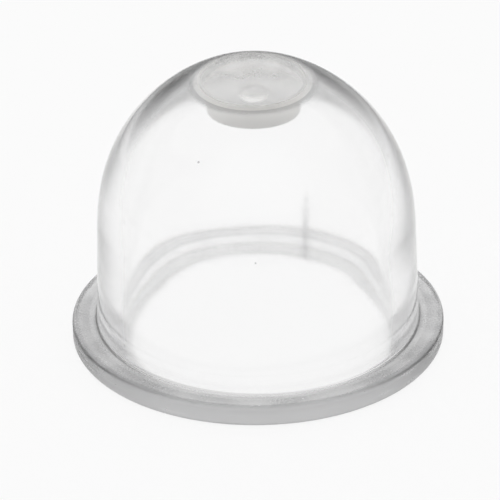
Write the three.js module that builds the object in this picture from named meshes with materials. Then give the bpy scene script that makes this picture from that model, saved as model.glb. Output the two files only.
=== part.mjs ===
import * as THREE from 'three';

// A primer bulb for a small carburettor, moulded in one piece from clear soft plastic:
// a hollow dome that a thumb presses, on a flat flange that a ring clamps to its seat.
// Sizes are in millimetres. The axis is Z, and the flange's underside lies at height 0.

// Mouth and flange
const mouthDiameter = 14;
const mouthEdgeRadius = 0.2;
const footWall = 1.24;
const ledgeWidth = 1.26;
const flangeThickness = 1;
const flangeEdgeRadius = 0.15;
const footFilletRadius = 0.25;

// Dome: a wall with a slight draft up to the shoulder, then a full round crown
const bulbHeight = 15;
const shoulderHeight = 6.1;
const outerDraftDegrees = 2.4;
const innerDraftDegrees = 0.2;
const crownWall = 0.9;
const crownPowerUp = 2.33;
const crownPowerAcross = 1.83;

// Round pad under the crown, with the mark of the moulding gate in its face
const padThickness = 2.7;
const padDiameter = 4.5;
const padRootRadius = 0.3;
const padEdgeRadius = 0.15;
const gateDiameter = 1;
const gateDepth = 0.2;

// How finely the round stretches are divided
const turnSteps = 72;
const crownSteps = 12;
const roundSteps = 3;

const mouthRadius = mouthDiameter / 2;
const footRadius = mouthRadius + footWall;
const flangeRadius = footRadius + ledgeWidth;
const padRadius = padDiameter / 2;
const padFaceHeight = bulbHeight - padThickness;

// A surface of the dome: its radius at the base of its wall, that base's height, the slope
// of its wall, and the height where it closes on the axis.
const outside = {
  baseRadius: footRadius,
  baseHeight: flangeThickness,
  slope: Math.tan(THREE.MathUtils.degToRad(outerDraftDegrees)),
  top: bulbHeight,
};
const inside = {
  baseRadius: mouthRadius,
  baseHeight: 0,
  slope: Math.tan(THREE.MathUtils.degToRad(innerDraftDegrees)),
  top: bulbHeight - crownWall,
};

// The wall's straight taper times a factor that is 1 up to the shoulder and 0 at the top.
function radiusAt(surface, height) {
  const taper = surface.baseRadius - surface.slope * (height - surface.baseHeight);
  const share = Math.max(0, (height - shoulderHeight) / (surface.top - shoulderHeight));
  const closing = Math.max(0, 1 - share ** crownPowerUp) ** (1 / crownPowerAcross);
  return taper * closing;
}

// The height in the crown where a surface has a given radius, by halving the stretch it lies in.
function heightAt(surface, radius) {
  let low = shoulderHeight;
  let high = surface.top;
  for (let step = 0; step < 40; step += 1) {
    const middle = (low + high) / 2;
    if (radiusAt(surface, middle) > radius) {
      low = middle;
    } else {
      high = middle;
    }
  }
  return low;
}

// Points up a surface's crown from the shoulder to a height, closer together towards the top.
function crownPoints(surface, lastHeight) {
  const rise = surface.top - shoulderHeight;
  const lastTurn = Math.asin((lastHeight - shoulderHeight) / rise);
  return Array.from({ length: crownSteps + 1 }, (_, step) => {
    const height = shoulderHeight + rise * Math.sin((lastTurn * step) / crownSteps);
    return new THREE.Vector2(radiusAt(surface, height), height);
  });
}

// A round between two points of the profile, pulled towards their corner.
function round(start, corner, end) {
  return new THREE.QuadraticBezierCurve(start, corner, end).getPoints(roundSteps);
}

// The pad's side meets the inner crown in a fillet that follows the crown's own slope.
function padRoot() {
  const outerRadius = padRadius + padRootRadius;
  const outerHeight = heightAt(inside, outerRadius);
  const rise = heightAt(inside, padRadius) - outerHeight;
  return {
    height: outerHeight,
    points: round(
      new THREE.Vector2(outerRadius, outerHeight),
      new THREE.Vector2(padRadius, outerHeight + rise),
      new THREE.Vector2(padRadius, outerHeight - padRootRadius),
    ),
  };
}

// Half of the bulb's section, from the pad's face down the inside and up the outside.
function sectionPoints() {
  const root = padRoot();
  const filletTop = flangeThickness + footFilletRadius;
  const filletRadius = radiusAt(outside, filletTop);
  const mouthCorner = new THREE.Vector2(mouthRadius, 0);
  const lowerEdge = new THREE.Vector2(flangeRadius, 0);
  const upperEdge = new THREE.Vector2(flangeRadius, flangeThickness);
  return [
    new THREE.Vector2(0, padFaceHeight + gateDepth),
    new THREE.Vector2(gateDiameter / 2, padFaceHeight),
    ...round(
      new THREE.Vector2(padRadius - padEdgeRadius, padFaceHeight),
      new THREE.Vector2(padRadius, padFaceHeight),
      new THREE.Vector2(padRadius, padFaceHeight + padEdgeRadius),
    ),
    ...root.points.reverse(),
    ...crownPoints(inside, root.height).reverse().slice(1),
    ...round(
      new THREE.Vector2(radiusAt(inside, mouthEdgeRadius), mouthEdgeRadius),
      mouthCorner,
      new THREE.Vector2(mouthRadius + mouthEdgeRadius, 0),
    ),
    ...round(
      new THREE.Vector2(flangeRadius - flangeEdgeRadius, 0),
      lowerEdge,
      new THREE.Vector2(flangeRadius, flangeEdgeRadius),
    ),
    ...round(
      new THREE.Vector2(flangeRadius, flangeThickness - flangeEdgeRadius),
      upperEdge,
      new THREE.Vector2(flangeRadius - flangeEdgeRadius, flangeThickness),
    ),
    ...round(
      new THREE.Vector2(filletRadius + footFilletRadius, flangeThickness),
      new THREE.Vector2(filletRadius, flangeThickness),
      new THREE.Vector2(filletRadius, filletTop),
    ),
    ...crownPoints(outside, bulbHeight),
  ];
}

function primerBulb() {
  const geometry = new THREE.LatheGeometry(sectionPoints(), turnSteps);
  geometry.rotateX(Math.PI / 2);
  const clearPlastic = new THREE.MeshStandardMaterial({
    color: 0xe6e7e8,
    roughness: 0.1,
    metalness: 0,
    transparent: true,
    opacity: 0.35,
  });
  const bulb = new THREE.Mesh(geometry, clearPlastic);
  bulb.name = 'primer_bulb';
  return bulb;
}

const part = new THREE.Group();
part.add(primerBulb());

export default part;
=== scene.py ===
# %% [markdown]
# # A clear primer bulb
# A primer bulb is a small dome of clear soft plastic on a flat flange. A thumb presses it to draw
# fuel into a carburettor. It is moulded in one piece, so it is one mesh here too. Nothing on it is
# painted: all that the eye gets is how its walls bend and mirror the light around it. The lesson is
# therefore about three things, which are a true section, a clear material and a studio for glass.

import math

import bpy
import numpy as np
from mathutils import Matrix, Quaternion, Vector


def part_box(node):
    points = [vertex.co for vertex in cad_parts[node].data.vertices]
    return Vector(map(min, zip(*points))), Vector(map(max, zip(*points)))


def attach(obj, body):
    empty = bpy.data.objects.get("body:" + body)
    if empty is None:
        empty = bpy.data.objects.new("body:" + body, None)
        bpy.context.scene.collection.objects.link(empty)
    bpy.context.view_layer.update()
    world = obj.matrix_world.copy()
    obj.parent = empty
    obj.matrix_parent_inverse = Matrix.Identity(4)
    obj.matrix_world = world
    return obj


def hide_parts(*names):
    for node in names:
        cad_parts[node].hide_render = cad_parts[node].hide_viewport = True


MM = 0.001

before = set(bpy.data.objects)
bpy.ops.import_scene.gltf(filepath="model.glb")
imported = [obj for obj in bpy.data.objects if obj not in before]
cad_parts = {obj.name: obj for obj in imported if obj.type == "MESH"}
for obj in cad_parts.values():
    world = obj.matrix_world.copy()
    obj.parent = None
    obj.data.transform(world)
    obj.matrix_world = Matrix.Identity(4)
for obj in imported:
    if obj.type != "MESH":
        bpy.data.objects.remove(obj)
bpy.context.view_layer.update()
node_low, node_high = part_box("primer_bulb")
print("frame box in mm:", [round(side / MM, 3) for side in node_high - node_low])

# %% [markdown]
# ## Three small helpers
# Colours are written as the sRGB hex values that a colour picker shows, and Blender's shaders want
# linear light, so one function turns the first into the second. Another adds a shader node and sets
# or links its inputs, which keeps each material below short enough to read at a glance. The third
# starts a material that holds nothing else.

# %% Helpers for colours and nodes
def linear(hex_colour):
    """The linear light of an sRGB hex colour: each part over 255, with the sRGB curve undone."""
    parts = np.array([int(hex_colour[start:start + 2], 16) for start in (1, 3, 5)]) / 255
    light = np.where(parts <= 0.04045, parts / 12.92, ((parts + 0.055) / 1.055) ** 2.4)
    return (*light.tolist(), 1.0)


def add_node(tree, kind, settings=None, inputs=None):
    """Adds a node of one kind, with its settings, and sets each input or links it from a socket."""
    node = tree.nodes.new(kind)
    for name, value in (settings or {}).items():
        setattr(node, name, value)
    for key, value in (inputs or {}).items():
        if isinstance(value, bpy.types.NodeSocket):
            tree.links.new(value, node.inputs[key])
        else:
            node.inputs[key].default_value = value
    return node


def empty_material(name):
    """A material whose node tree holds only its output."""
    material = bpy.data.materials.new(name)
    material.use_nodes = True
    material.node_tree.nodes.clear()
    output = material.node_tree.nodes.new("ShaderNodeOutputMaterial")
    return material, material.node_tree, output


print("helpers ready")

# %% [markdown]
# ## The camera
# The camera looks down a little, from 14 cm away, through a lens long enough to fill the picture
# from there. A nearer camera would curve the flange's front edge much more than its back edge. It is
# rolled a touch, so that the bulb stands as it does in the picture.

# %% Camera
CAMERA_DISTANCE = 141 * MM
CAMERA_ELEVATION = math.radians(28.4)
CAMERA_ROLL = math.radians(0.8)
CAMERA_LENS = 200.5
SENSOR_WIDTH = 36
CLIP_NEAR = CAMERA_DISTANCE / 10
CLIP_FAR = CAMERA_DISTANCE * 100
LOOKED_AT = Vector((-0.36 * MM, 0, 4.585 * MM))


def make_camera():
    """A camera on a sphere about the point it looks at, straight in front and above."""
    data = bpy.data.cameras.new("camera")
    data.lens = CAMERA_LENS
    data.sensor_width = SENSOR_WIDTH
    data.clip_start = CLIP_NEAR
    data.clip_end = CLIP_FAR
    camera = bpy.data.objects.new("camera", data)
    bpy.context.scene.collection.objects.link(camera)
    back = Vector((0, -math.cos(CAMERA_ELEVATION), math.sin(CAMERA_ELEVATION)))
    camera.location = LOOKED_AT + back * CAMERA_DISTANCE
    camera.rotation_mode = "QUATERNION"
    turn = Quaternion((0, 0, 1), -CAMERA_ROLL)
    camera.rotation_quaternion = (-back).to_track_quat("-Z", "Y") @ turn
    bpy.context.scene.camera = camera


make_camera()
print("camera", round(CAMERA_DISTANCE / MM), "mm away,", CAMERA_LENS, "mm lens")

# %% [markdown]
# ## The section
# The bulb was made in a steel mould with a round core, so half of its section says it all. The
# wall is 1.2 mm at the foot and 0.9 mm at the crown, and it has a slight draft so that it slips off
# the core. Clear things show their inside as plainly as their outside, and a wall that is 0.1 mm
# too thick bends the far side out of place. So the inner and outer walls are two curves with sizes
# of their own, not one curve with a Solidify modifier.

# %% Sizes of the section
FLANGE_RADIUS = node_high.x
BULB_HEIGHT = node_high.z
LEDGE_WIDTH = 1.26 * MM
FOOT_WALL = 1.24 * MM
FLANGE_THICKNESS = 1.0 * MM
FLANGE_ROUND = 0.2 * MM
MOUTH_ROUND = 0.2 * MM
FOOT_FILLET = 0.25 * MM
SHOULDER_HEIGHT = 6.1 * MM
CROWN_WALL = 0.9 * MM
OUTER_DRAFT = math.tan(math.radians(2.4))
INNER_DRAFT = math.tan(math.radians(0.2))
CROWN_POWER_UP = 2.33
CROWN_POWER_ACROSS = 1.83
LOOKUP_STEPS = 4000

FOOT_RADIUS = FLANGE_RADIUS - LEDGE_WIDTH
MOUTH_RADIUS = FOOT_RADIUS - FOOT_WALL
INNER_TOP = BULB_HEIGHT - CROWN_WALL


def wall_radius(height, base_radius, base_height, draft, top):
    """A straight taper, base minus draft times height, times a factor that closes it at the top.

    The factor is (1 - s ** up) ** (1 / across), where s runs from 0 at the shoulder to 1 at the top.
    """
    share = np.clip((height - SHOULDER_HEIGHT) / (top - SHOULDER_HEIGHT), 0, 1)
    closing = np.maximum(1 - share ** CROWN_POWER_UP, 0) ** (1 / CROWN_POWER_ACROSS)
    return (base_radius - draft * (height - base_height)) * closing


def outer_radius(height):
    """The radius of the dome's outside at a height."""
    return wall_radius(height, FOOT_RADIUS, FLANGE_THICKNESS, OUTER_DRAFT, BULB_HEIGHT)


def inner_radius(height):
    """The radius of the dome's hollow at a height."""
    return wall_radius(height, MOUTH_RADIUS, 0, INNER_DRAFT, INNER_TOP)


def inner_height(radius):
    """The height in the crown where the hollow has a radius, read back from its own curve."""
    heights = np.linspace(INNER_TOP, SHOULDER_HEIGHT, LOOKUP_STEPS)
    return float(np.interp(radius, inner_radius(heights), heights))


SAMPLE_HEIGHT = 10 * MM
sample_wall = float(outer_radius(SAMPLE_HEIGHT) - inner_radius(SAMPLE_HEIGHT))
print("mouth", round(2 * MOUTH_RADIUS / MM, 2), "mm, wall", round(sample_wall / MM, 2),
      "mm thick at a height of", SAMPLE_HEIGHT / MM, "mm")

# %% [markdown]
# ## The pad under the crown
# The plastic enters the mould at the middle of the crown. A short round pad hangs there, so that
# the gate can be cut off without thinning the wall. Its face keeps the gate's small sunk mark. Seen
# from above, the pad's root is the pair of rings in the crown, and its side is the drum below them.

# %% Sizes of the pad
PAD_RADIUS = 2.25 * MM
PAD_THICKNESS = 2.7 * MM
PAD_ROOT = 0.3 * MM
PAD_EDGE = 0.15 * MM
GATE_RADIUS = 0.5 * MM
GATE_DEPTH = 0.08 * MM
PAD_FACE = BULB_HEIGHT - PAD_THICKNESS


def straight(start, end, count):
    """Rows of radius and height on a line from start to end, without its last point."""
    share = np.arange(count)[:, None] / count
    return (1 - share) * np.array(start) + share * np.array(end)


def rounded(start, corner, end, count):
    """Points on a round edge: (1-t)^2 start + 2t(1-t) corner + t^2 end, without the last one."""
    share = np.arange(count)[:, None] / count
    return ((1 - share) ** 2 * np.array(start) + 2 * share * (1 - share) * np.array(corner)
            + share ** 2 * np.array(end))


def curved(radius_of, low, high, top, count):
    """Points up a wall's curve, closer together towards its top, without the last one.

    The height is the shoulder's plus the rise times the sine of an angle that grows evenly.
    """
    rise = top - SHOULDER_HEIGHT
    ends = [math.asin((height - SHOULDER_HEIGHT) / rise) for height in (low, high)]
    heights = SHOULDER_HEIGHT + rise * np.sin(np.linspace(*ends, count + 1)[:-1])
    return np.stack([radius_of(heights), heights], axis=1)


print("pad face at", round(PAD_FACE / MM, 2), "mm")

# %% [markdown]
# ## How matt each face is
# A moulded face copies the steel that it was pressed on. The outside of the dome was polished, the
# core less so, and the sealing faces of the flange were only ground. The pad was touched last, when
# the gate was cut off, and over it the crown has a dull spot that moulders call a blush. A number
# from 0, clear, to 1, frosted, goes along with each stretch of the section, and later becomes the
# roughness there.

# %% Finish of each stretch
CAVITY_FINISH = 0.05
CORE_FINISH = 0.12
FILLET_FINISH = 0.1
# The flange's finishes also set its grey tint, which is partly painted shade.
FLANGE_FINISH = 0.225
RIM_FINISH = 0.2
UNDERSIDE_FINISH = 0.25
MOUTH_FINISH = 0.12
PAD_ROOT_FINISH = 0.5
PAD_FINISH = 0.5
GATE_FINISH = 0.6
ROOT_FADE = 0.35 * MM
BLUSH_FINISH = 0.27
BLUSH_RADIUS = 3.3 * MM


def finished(points, finish):
    """The points with a third number, their finish."""
    return np.column_stack([points, np.broadcast_to(finish, len(points))])


def core_finish(radius):
    """The core's finish, rising to the pad root's by a bell curve: exp(-(distance / fade)^2)."""
    beside = np.maximum(radius - PAD_RADIUS - PAD_ROOT, 0) / ROOT_FADE
    return CORE_FINISH + (PAD_ROOT_FINISH - CORE_FINISH) * np.exp(-beside ** 2)


def blushed(radius):
    """The outside's finish, with the blush added as a flat bell curve: exp(-(radius / reach)^4)."""
    return CAVITY_FINISH + (BLUSH_FINISH - CAVITY_FINISH) * np.exp(-(radius / BLUSH_RADIUS) ** 4)


print("finish from", CAVITY_FINISH, "on the dome to", GATE_FINISH, "on the gate's mark")

# %% [markdown]
# ## Half of the section as one line of points
# The line starts in the middle of the pad's face, goes down the inside, round the flange, and up
# the outside to the crown. Each stretch gives up its last point to the next one, so no two points
# are alike. COUNTS says how many points each stretch gets. A small round gets many for its size,
# because a bright line in clear plastic is always a round edge.

# %% Section points
COUNTS = {
    "gate mark": 10, "pad face": 8, "pad edge": 8, "pad side": 6, "pad root": 14,
    "inner crown": 80, "straight wall": 27, "mouth edge": 8, "underside": 6, "lower edge": 8,
    "rim": 4, "upper edge": 10, "flange face": 4, "fillet": 12, "outer crown": 90,
}


def pad_points(root):
    """The gate's mark, the pad's face, edge and side, and the round where it leaves the crown."""
    face, side = PAD_FACE, PAD_RADIUS
    mark = rounded((0, face + GATE_DEPTH), (GATE_RADIUS, face + GATE_DEPTH), (GATE_RADIUS, face),
                   COUNTS["gate mark"])
    flat = straight((GATE_RADIUS, face), (side - PAD_EDGE, face), COUNTS["pad face"])
    edge = rounded((side - PAD_EDGE, face), (side, face), (side, face + PAD_EDGE), COUNTS["pad edge"])
    drum = straight((side, face + PAD_EDGE), (side, root[1] - PAD_ROOT), COUNTS["pad side"])
    foot = rounded((side, root[1] - PAD_ROOT), (side, inner_height(side)), root, COUNTS["pad root"])
    return [finished(mark, GATE_FINISH), finished(np.concatenate([flat, edge, drum]), PAD_FINISH),
            finished(foot, PAD_ROOT_FINISH)]


def core_points(root):
    """The hollow's crown and wall, from the pad's root down to the mouth's round edge."""
    crown = curved(inner_radius, SHOULDER_HEIGHT, root[1], INNER_TOP, COUNTS["inner crown"])
    heights = np.linspace(MOUTH_ROUND, SHOULDER_HEIGHT, COUNTS["straight wall"])[:-1]
    wall = np.stack([inner_radius(heights), heights], axis=1)
    inside = np.concatenate([[root], crown[::-1], wall[:0:-1]])
    return [finished(inside, core_finish(inside[:, 0]))]


def flange_points(fillet_end):
    """The mouth's edge, the underside, the rim, the flange's top and the fillet at the dome's foot."""
    top, edge, bend = FLANGE_THICKNESS, FLANGE_RADIUS, FLANGE_ROUND
    mouth = rounded((float(inner_radius(MOUTH_ROUND)), MOUTH_ROUND), (MOUTH_RADIUS, 0),
                    (MOUTH_RADIUS + MOUTH_ROUND, 0), COUNTS["mouth edge"])
    under = straight((MOUTH_RADIUS + MOUTH_ROUND, 0), (edge - bend, 0), COUNTS["underside"])
    low = rounded((edge - bend, 0), (edge, 0), (edge, bend), COUNTS["lower edge"])
    rim = straight((edge, bend), (edge, top - bend), COUNTS["rim"])
    high = rounded((edge, top - bend), (edge, top), (edge - bend, top), COUNTS["upper edge"])
    fillet_start = (fillet_end[0] + FOOT_FILLET, top)
    face = straight((edge - bend, top), fillet_start, COUNTS["flange face"])
    fillet = rounded(fillet_start, (fillet_end[0], top), fillet_end, COUNTS["fillet"])
    return [finished(mouth, MOUTH_FINISH), finished(under, UNDERSIDE_FINISH),
            finished(np.concatenate([low, rim, high]), RIM_FINISH),
            finished(face, FLANGE_FINISH), finished(fillet, FILLET_FINISH)]


def dome_points(fillet_end):
    """The dome's outside, from the fillet up the wall and over the crown to the axis."""
    heights = np.linspace(fillet_end[1], SHOULDER_HEIGHT, COUNTS["straight wall"])[:-1]
    wall = np.stack([outer_radius(heights), heights], axis=1)
    crown = curved(outer_radius, SHOULDER_HEIGHT, BULB_HEIGHT, BULB_HEIGHT, COUNTS["outer crown"])
    outside = np.concatenate([wall, crown, [(0, BULB_HEIGHT)]])
    return [finished(outside, blushed(outside[:, 0]))]


def section_points():
    """Rows of radius, height and finish along half of the section, from the pad to the crown."""
    root = (PAD_RADIUS + PAD_ROOT, inner_height(PAD_RADIUS + PAD_ROOT))
    fillet_top = FLANGE_THICKNESS + FOOT_FILLET
    fillet_end = (float(outer_radius(fillet_top)), fillet_top)
    return np.concatenate(pad_points(root) + core_points(root) + flange_points(fillet_end)
                          + dome_points(fillet_end))


section = section_points()
print("section of", len(section), "points")

# %% [markdown]
# ## The faults of a real moulding
# A perfect surface of revolution looks drawn rather than moulded. So the core side waves by up to
# 0.03 mm, and one upright flow line runs up its back wall, where the melt met itself behind the core.
# The soft dome leans a little to its left, and the flange is worn, most of all on the rim at the
# front. The grey of that wear is also painted shade, darkest on the rim at the front and faint at the
# flange's left and right. Each fault is a function of the angle a about the axis and of the place on the
# section.

# %% Faults
WAVE_HEIGHT = 0.012 * MM
WAVES = [
    {"share": 1, "turns": 3, "pitch": 0.5, "phase": 0},
    {"share": 0.7, "turns": 5, "pitch": -0.8, "phase": 1.3},
    {"share": 0.5, "turns": 2, "pitch": 1.4, "phase": 2.1},
]
WAVES_FULL_HEIGHT = 3 * MM
WAVES_FULL_RADIUS = 4 * MM
FLOW_LINE_ANGLE = math.radians(66)
FLOW_LINE_WIDTH = 0.22 * MM
FLOW_LINE_HEIGHT = 0.05 * MM
FLOW_LINE_FINISH = 0.3
FLOW_LINE_TOP = 4.3 * MM
FLOW_LINE_END = 0.3 * MM
LEAN = 0.12 * MM
# Partly painted shade: this wear's grey darkens the rim most at the front, and the flange's left and
# right a little.
SCUFF_AND_SHADE_FINISH = 0.17
SCUFF_AND_SHADE_POWER = 1.5
SCUFF_AND_SHADE_START = FLANGE_RADIUS - 0.4 * MM
SIDE_SCUFF_AND_SHADE = 0.02


def leaning(x, height):
    """The lean to the left: x - lean * (height / top)^2, which is next to nothing at the flange."""
    return x - LEAN * (height / BULB_HEIGHT) ** 2


def core_waves(angle, height, radius):
    """The core side's unevenness: slow waves that cross, and fade out at the mouth and the crown.

    Each wave is share * sin(turns * a + pitch * height + phase), with the height in millimetres.
    """
    along = height / MM
    waves = sum(wave["share"] * np.sin(wave["turns"] * angle + wave["pitch"] * along + wave["phase"])
                for wave in WAVES)
    fade = np.clip(height / WAVES_FULL_HEIGHT, 0, 1) * np.clip(radius / WAVES_FULL_RADIUS, 0, 1) ** 2
    return WAVE_HEIGHT * waves * fade


def flow_line(angle, height):
    """The flow line's strength: a bell curve across it, times a soft step at its top.

    That is exp(-(across / width)^2) / (1 + exp((height - top) / end)).
    """
    across = (angle - FLOW_LINE_ANGLE) * MOUTH_RADIUS / FLOW_LINE_WIDTH
    step = 1 / (1 + np.exp((height - FLOW_LINE_TOP) / FLOW_LINE_END))
    return np.exp(-across ** 2) * step


def scuffed_and_shaded(angle, radius):
    """Wear and painted shade: ((1 - sin a) / 2)^1.5 at the rim, most at the front, and cos^2 a on the
    flange's faces.
    """
    rim = SCUFF_AND_SHADE_FINISH * ((1 - np.sin(angle)) / 2) ** SCUFF_AND_SHADE_POWER * (radius > SCUFF_AND_SHADE_START)
    faces = SIDE_SCUFF_AND_SHADE * np.cos(angle) ** 2 * (radius > FOOT_RADIUS) * (radius <= SCUFF_AND_SHADE_START)
    return rim + faces


highest_wave = WAVE_HEIGHT * sum(wave["share"] for wave in WAVES)
print("waves of up to", round(highest_wave / MM, 3), "mm, flow line of", FLOW_LINE_HEIGHT / MM, "mm")

# %% [markdown]
# ## The bulb as a surface of revolution
# The surface is a function of two parameters: the place along the section and the angle about the
# axis. The faults go into its radius and its finish on the way. The ends of the section lie on the
# axis, and each closes with a fan of triangles about one vertex.

# %% Surface of the bulb
AROUND = 288


def bulb_surface(points, around):
    """Rings (r cos a, r sin a, z) of the section's points, with the faults in r, and their finish."""
    angle = np.linspace(0, 2 * math.pi, around, endpoint=False)[None, :]
    radius, height, finish = points[:, :, None].transpose(1, 0, 2)
    foot = int(np.argmin(points[:, 1]))
    is_core = (np.arange(len(points)) < foot)[:, None] & (radius > PAD_RADIUS + PAD_ROOT)
    line = flow_line(angle, height) * is_core
    radius = radius - core_waves(angle, height, radius) * is_core - FLOW_LINE_HEIGHT * line
    flat = np.broadcast_to(height, radius.shape)
    rings = np.stack([leaning(radius * np.cos(angle), flat), radius * np.sin(angle), flat], axis=-1)
    return rings, finish + (FLOW_LINE_FINISH - finish) * line + scuffed_and_shaded(angle, radius)


def revolved_mesh(name, points, around):
    """A closed mesh of the rings: quads between neighbours, and a fan about each end's vertex."""
    rings, finish = bulb_surface(points[1:-1], around)
    ends = np.array([(leaning(0, height), 0, height) for height in (points[0, 1], points[-1, 1])])
    vertices = np.concatenate([rings.reshape(-1, 3), ends])
    count = len(rings)
    ring = np.arange(count - 1)[:, None]
    step = np.arange(around)[None, :]
    following = (step + 1) % around
    quads = np.stack([ring * around + step, ring * around + following,
                      (ring + 1) * around + following, (ring + 1) * around + step], axis=-1)
    first = np.arange(around)
    second = (first + 1) % around
    last = (count - 1) * around
    start_fan = np.stack([np.full(around, count * around), second, first], axis=-1)
    end_fan = np.stack([np.full(around, count * around + 1), last + first, last + second], axis=-1)
    faces = quads.reshape(-1, 4).tolist() + start_fan.tolist() + end_fan.tolist()
    mesh = bpy.data.meshes.new(name)
    mesh.from_pydata(vertices.tolist(), [], faces)
    mesh.shade_smooth()
    finish = np.concatenate([finish.ravel(), points[[0, -1], 2]])
    attribute = mesh.attributes.new("finish", "FLOAT", "POINT")
    attribute.data.foreach_set("value", finish.astype(np.float32))
    return mesh


bulb = bpy.data.objects.new("clear_bulb", revolved_mesh("clear_bulb", section, AROUND))
bpy.context.scene.collection.objects.link(bulb)
print("bulb of", len(bulb.data.vertices), "vertices")

# %% [markdown]
# ## The material: clear soft polyurethane, moulded
# The bulb is a clear thermoplastic elastomer. It bends light as most plastics do, and it swallows a
# little light for each millimetre that a ray runs inside it, which is a real absorption in the
# volume and not a tint on the skin. The finish of each stretch becomes its roughness. The tint goes
# from clear to a grey as the finish rises. That grey is partly the soft grey that a ground face
# scatters back and partly painted shade, which darkens the flange, its rim and its underside. The
# pad, the thickest and slowest to cool, is a slightly warm white.
# Grinding leaves streaks of about 2 mm by 0.2 mm. The grain between them is too fine to show at its
# real size of a few hundredths of a millimetre, so it is drawn at 0.12 mm. A few specks of dust,
# 0.15 mm across, are moulded in.

# %% Clear plastic
PLASTIC_IOR = 1.5
ABSORPTION_PER_METRE = 6.0
CLEAR = "#ffffff"
# A grey that is partly the frost of ground faces and partly painted shade.
FROST_AND_PAINTED_SHADE = "#b2b2b3"
SPECK = "#969697"
PAD_WARM = "#fbfaf7"
FROST_AND_SHADE_STARTS, FROST_AND_SHADE_FULL = 0.15, 0.33
PAD_STARTS, PAD_FULL = 0.41, 0.43
NOISE_LOW, NOISE_HIGH = 0.3, 0.7
STREAK_LENGTH = 2.2 * MM
STREAK_HEIGHT = 0.22 * MM
STREAK_DETAIL = 1.5
STREAK_LEAST, STREAK_MOST = 0.85, 1.12
GRAIN_SIZE = 0.12 * MM
GRAIN_DETAIL = 3.0
GRAIN_LEAST, GRAIN_MOST = 0.88, 1.12
BUMP_STRENGTH = 0.015
BUMP_DEPTH = 0.002 * MM
SPECK_SPACING = 2.2 * MM
SPECK_RADIUS = 0.075 * MM


def tint_between(tree, value, low, high, first, second):
    """A colour that goes from the first to the second while the value goes from low to high.

    A Mix node takes its share at input 0 and two colours at 6 and 7, and has the mix at output 2.
    """
    share = add_node(tree, "ShaderNodeMapRange", {"interpolation_type": "SMOOTHSTEP"},
                     {"Value": value, "From Min": low, "From Max": high})
    mix = add_node(tree, "ShaderNodeMix", {"data_type": "RGBA"},
                   {0: share.outputs[0], 6: first, 7: second})
    return mix.outputs[2]


def clear_plastic():
    """A clear body whose tint and roughness come from the finish, its streaks, grain and specks."""
    material, tree, output = empty_material("clear_moulded_polyurethane")
    place = add_node(tree, "ShaderNodeTexCoord").outputs["Object"]
    finish = add_node(tree, "ShaderNodeAttribute", {"attribute_name": "finish"}).outputs["Fac"]
    stretched = add_node(tree, "ShaderNodeMapping", inputs={
        "Vector": place, "Scale": (1 / STREAK_LENGTH, 1 / STREAK_LENGTH, 1 / STREAK_HEIGHT)})
    streaks = add_node(tree, "ShaderNodeTexNoise", inputs={
        "Vector": stretched.outputs[0], "Scale": 1.0, "Detail": STREAK_DETAIL})
    uneven = add_node(tree, "ShaderNodeMapRange", inputs={
        "Value": streaks.outputs[0], "From Min": NOISE_LOW, "From Max": NOISE_HIGH,
        "To Min": STREAK_LEAST, "To Max": STREAK_MOST})
    dull = add_node(tree, "ShaderNodeMath", {"operation": "MULTIPLY"},
                    {0: finish, 1: uneven.outputs[0]}).outputs[0]
    # Partly painted shade: as the finish rises, the grey darkens the flange, its rim and its underside.
    tint = tint_between(tree, dull, FROST_AND_SHADE_STARTS, FROST_AND_SHADE_FULL, linear(CLEAR), linear(FROST_AND_PAINTED_SHADE))
    tint = tint_between(tree, finish, PAD_STARTS, PAD_FULL, tint, linear(PAD_WARM))
    cells = add_node(tree, "ShaderNodeTexVoronoi", inputs={"Vector": place, "Scale": 1 / SPECK_SPACING})
    tint = tint_between(tree, cells.outputs["Distance"], SPECK_RADIUS / SPECK_SPACING,
                        SPECK_RADIUS / SPECK_SPACING / 2, tint, linear(SPECK))
    grain = add_node(tree, "ShaderNodeTexNoise", inputs={
        "Vector": place, "Scale": 1 / GRAIN_SIZE, "Detail": GRAIN_DETAIL})
    grain = add_node(tree, "ShaderNodeMapRange", inputs={
        "Value": grain.outputs[0], "From Min": NOISE_LOW, "From Max": NOISE_HIGH,
        "To Min": GRAIN_LEAST, "To Max": GRAIN_MOST})
    rough = add_node(tree, "ShaderNodeMath", {"operation": "MULTIPLY"}, {0: dull, 1: grain.outputs[0]})
    ground = add_node(tree, "ShaderNodeMapRange", inputs={
        "Value": finish, "From Min": CORE_FINISH, "From Max": FROST_AND_SHADE_FULL,
        "To Min": 0.0, "To Max": BUMP_STRENGTH})
    bump = add_node(tree, "ShaderNodeBump", inputs={
        "Strength": ground.outputs[0], "Distance": BUMP_DEPTH, "Height": streaks.outputs[0]})
    plastic = add_node(tree, "ShaderNodeBsdfPrincipled", inputs={
        "Base Color": tint, "Roughness": rough.outputs[0], "IOR": PLASTIC_IOR,
        "Transmission Weight": 1.0, "Normal": bump.outputs[0]})
    inside = add_node(tree, "ShaderNodeVolumeAbsorption", inputs={
        "Color": linear("#000000"), "Density": ABSORPTION_PER_METRE})
    tree.links.new(plastic.outputs[0], output.inputs["Surface"])
    tree.links.new(inside.outputs[0], output.inputs["Volume"])
    return material


bulb.data.materials.append(clear_plastic())
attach(bulb, "root")
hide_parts("primer_bulb")
print("material", bulb.data.materials[0].name)

# %% [markdown]
# ## A studio for clear things
# Clear plastic in an all-white room is invisible, so a photographer hangs dark and pale cards
# around it, just out of the picture. The clear walls pick the cards up along their edges and draw
# themselves. The floor is white paper that the camera, mirrors and glass all see white, with a thin
# shadow painted where the foot of the bulb keeps the light out.

# %% Floor
FLOOR_GAP = 0.05 * MM
FLOOR_HALF = 1.5
FLOOR_WHITE = "#fbfbfb"
FLOOR_SHADOW = 0.1
CONTACT_SHADOW = 0.28
SHADOW_SHIFT = (0.35 * MM, 0.35 * MM, 0)
SHADOW_SOFT = 0.2 * MM
SHADOW_INSET = 0.4 * MM


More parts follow.
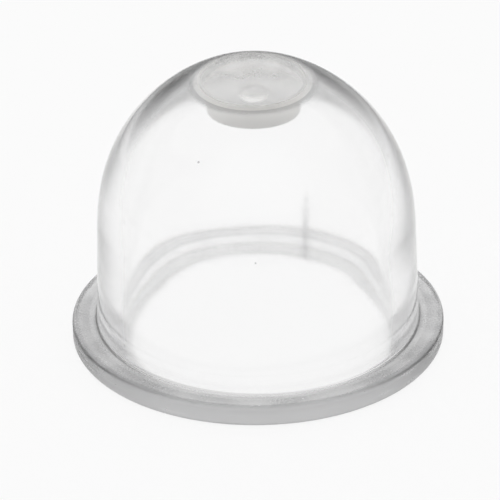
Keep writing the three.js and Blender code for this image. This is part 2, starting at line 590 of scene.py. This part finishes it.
def contact_shadow(tree):
    """The paper's light under the foot: 1 less the shadow, between two smooth steps of the radius.

    The inner step is about a centre to the back right, so the shadow is wider at the front left.
    """
    place = add_node(tree, "ShaderNodeTexCoord").outputs["Object"]
    radius = add_node(tree, "ShaderNodeVectorMath", {"operation": "LENGTH"}, {0: place})
    aside = add_node(tree, "ShaderNodeVectorMath", {"operation": "DISTANCE"}, {0: place, 1: SHADOW_SHIFT})
    inside = add_node(tree, "ShaderNodeMapRange", {"interpolation_type": "SMOOTHSTEP"}, {
        "Value": aside.outputs["Value"],
        "From Min": MOUTH_RADIUS - SHADOW_SOFT, "From Max": MOUTH_RADIUS + SHADOW_SOFT})
    outside = add_node(tree, "ShaderNodeMapRange", {"interpolation_type": "SMOOTHSTEP"}, {
        "Value": radius.outputs["Value"],
        "From Min": FOOT_RADIUS - SHADOW_INSET, "From Max": FLANGE_RADIUS + SHADOW_SOFT,
        "To Min": CONTACT_SHADOW, "To Max": 0.0})
    dark = add_node(tree, "ShaderNodeMath", {"operation": "MULTIPLY"}, {
        0: inside.outputs[0], 1: outside.outputs[0]})
    light = add_node(tree, "ShaderNodeMath", {"operation": "SUBTRACT"}, {0: 1.0, 1: dark.outputs[0]})
    return light.outputs[0]


def white_floor():
    """A pale floor that looks white to the eye and through glass, and keeps a share of its shading."""
    material, tree, output = empty_material("white_paper_floor")
    rays = add_node(tree, "ShaderNodeLightPath")
    seen = add_node(tree, "ShaderNodeMath", {"operation": "MAXIMUM"}, {
        0: rays.outputs["Is Camera Ray"], 1: rays.outputs["Is Glossy Ray"]})
    seen = add_node(tree, "ShaderNodeMath", {"operation": "MAXIMUM"}, {
        0: seen.outputs[0], 1: rays.outputs["Is Transmission Ray"]})
    share = add_node(tree, "ShaderNodeMath", {"operation": "MULTIPLY"}, {
        0: seen.outputs[0], 1: 1 - FLOOR_SHADOW})
    paper = add_node(tree, "ShaderNodeBsdfDiffuse", inputs={"Color": linear(FLOOR_WHITE)})
    glow = add_node(tree, "ShaderNodeEmission", inputs={
        "Color": linear(FLOOR_WHITE), "Strength": contact_shadow(tree)})
    mixed = add_node(tree, "ShaderNodeMixShader", inputs={
        0: share.outputs[0], 1: paper.outputs[0], 2: glow.outputs[0]})
    tree.links.new(mixed.outputs[0], output.inputs["Surface"])
    return material


def make_floor():
    """One large square just under the bulb."""
    corners = [(-1, -1), (1, -1), (1, 1), (-1, 1)]
    mesh = bpy.data.meshes.new("floor")
    mesh.from_pydata([(x * FLOOR_HALF, y * FLOOR_HALF, node_low.z - FLOOR_GAP)
                      for x, y in corners], [], [(0, 1, 2, 3)])
    mesh.materials.append(white_floor())
    floor = bpy.data.objects.new("floor", mesh)
    bpy.context.scene.collection.objects.link(floor)


make_floor()
print("floor", FLOOR_GAP / MM, "mm under the bulb")

# %% [markdown]
# ## The cards
# A room of cards is one surface about the bulb: a table that starts past the picture's edge, and a
# dome over it. Each card is a soft rectangle on that surface, given by where its middle is seen
# from the bulb, how far it reaches each way, and how bright it is. The foot of each card runs on
# over the table. Only rays that the clear walls have bent or mirrored see this room, so it colours
# nothing else.

# %% Room of cards
ROOM_RADIUS = 250 * MM
ROOM_LEVEL = 0.78
TABLE_START = 58 * MM
ROOM_COLUMNS = 145
ROOM_ROWS = 46
CARDS = [
    {"name": "soft box over the camera", "azimuth": -90, "elevation": 45,
     "wide": 50, "high": 30, "level": 1.0},
    {"name": "bright wall behind", "azimuth": 90, "elevation": 32,
     "wide": 50, "high": 13, "level": 0.85},
    {"name": "white card behind", "azimuth": 145, "elevation": 8,
     "wide": 22, "high": 30, "level": 0.9},
    {"name": "black card behind", "azimuth": 93, "elevation": 2,
     "wide": 30, "high": 12, "level": 0.04},
]


def room_levels(azimuth, elevation):
    """The room's level, drawn towards each card's in turn by exp(-(across/wide)^4 - (up/high)^4)."""
    level = np.full(np.broadcast_shapes(azimuth.shape, elevation.shape), ROOM_LEVEL)
    for card in CARDS:
        across = (azimuth - card["azimuth"] + 180) % 360 - 180
        up = elevation - card["elevation"]
        share = np.exp(-(across / card["wide"]) ** 4 - (up / card["high"]) ** 4)
        level = level + (card["level"] - level) * share
    return level


def room_surface():
    """Rings of points and their levels: two of the table, then the dome's from foot to top."""
    azimuth = np.linspace(-180, 180, ROOM_COLUMNS)[None, :]
    elevation = np.linspace(0, 90, ROOM_ROWS)[:, None]
    turn = np.radians(azimuth)
    rise = np.radians(elevation)
    low = node_low.z - FLOOR_GAP / 2
    reach = np.concatenate([[[TABLE_START], [ROOM_RADIUS]], ROOM_RADIUS * np.cos(rise)])
    height = np.concatenate([[[low], [low]], ROOM_RADIUS * np.sin(rise)])
    points = np.stack([reach * np.cos(turn), reach * np.sin(turn),
                       np.broadcast_to(height, (len(height), azimuth.size))], axis=-1)
    return points, room_levels(azimuth, np.concatenate([[[0], [0]], elevation]))


def make_room():
    """The room as one open mesh with levels on its points, seen by bent and mirrored rays alone."""
    points, levels = room_surface()
    rows, columns = levels.shape
    row = np.arange(rows - 1)[:, None] * columns
    column = np.arange(columns - 1)[None, :]
    faces = np.stack([row + column, row + column + 1, row + columns + column + 1,
                      row + columns + column], axis=-1)
    mesh = bpy.data.meshes.new("room_of_cards")
    mesh.from_pydata(points.reshape(-1, 3).tolist(), [], faces.reshape(-1, 4).tolist())
    attribute = mesh.attributes.new("level", "FLOAT", "POINT")
    attribute.data.foreach_set("value", levels.astype(np.float32).ravel())
    material, tree, output = empty_material("card")
    painted = add_node(tree, "ShaderNodeAttribute", {"attribute_name": "level"})
    glow = add_node(tree, "ShaderNodeEmission", inputs={
        "Color": linear("#ffffff"), "Strength": painted.outputs["Fac"]})
    tree.links.new(glow.outputs[0], output.inputs["Surface"])
    mesh.materials.append(material)
    room = bpy.data.objects.new("room_of_cards", mesh)
    bpy.context.scene.collection.objects.link(room)
    room.visible_camera = False
    room.visible_diffuse = False
    room.visible_shadow = False


make_room()
print("room with:", ", ".join(card["name"] for card in CARDS))

# %% [markdown]
# ## Light
# The world is plain white, at the level where a colour renders as it is written, so the light is as
# soft as light can be. Glossy filtering is off, because it makes clear walls swallow the light that
# should reach the floor behind them, and light may pass through enough surfaces to leave the bulb
# again.

# %% World and light paths
WORLD_LEVEL = 1.0
MOST_BOUNCES = 32
GLOSSY_BOUNCES = 12


def make_light():
    """A white world and the path settings for clear plastic."""
    scene = bpy.context.scene
    world = bpy.data.worlds.new("white_room")
    world.use_nodes = True
    background = world.node_tree.nodes["Background"]
    background.inputs["Color"].default_value = linear("#ffffff")
    background.inputs["Strength"].default_value = WORLD_LEVEL
    scene.world = world
    scene.view_settings.view_transform = "Standard"
    scene.cycles.blur_glossy = 0
    scene.cycles.max_bounces = MOST_BOUNCES
    scene.cycles.transmission_bounces = MOST_BOUNCES
    scene.cycles.glossy_bounces = GLOSSY_BOUNCES


make_light()
print("world level", WORLD_LEVEL)
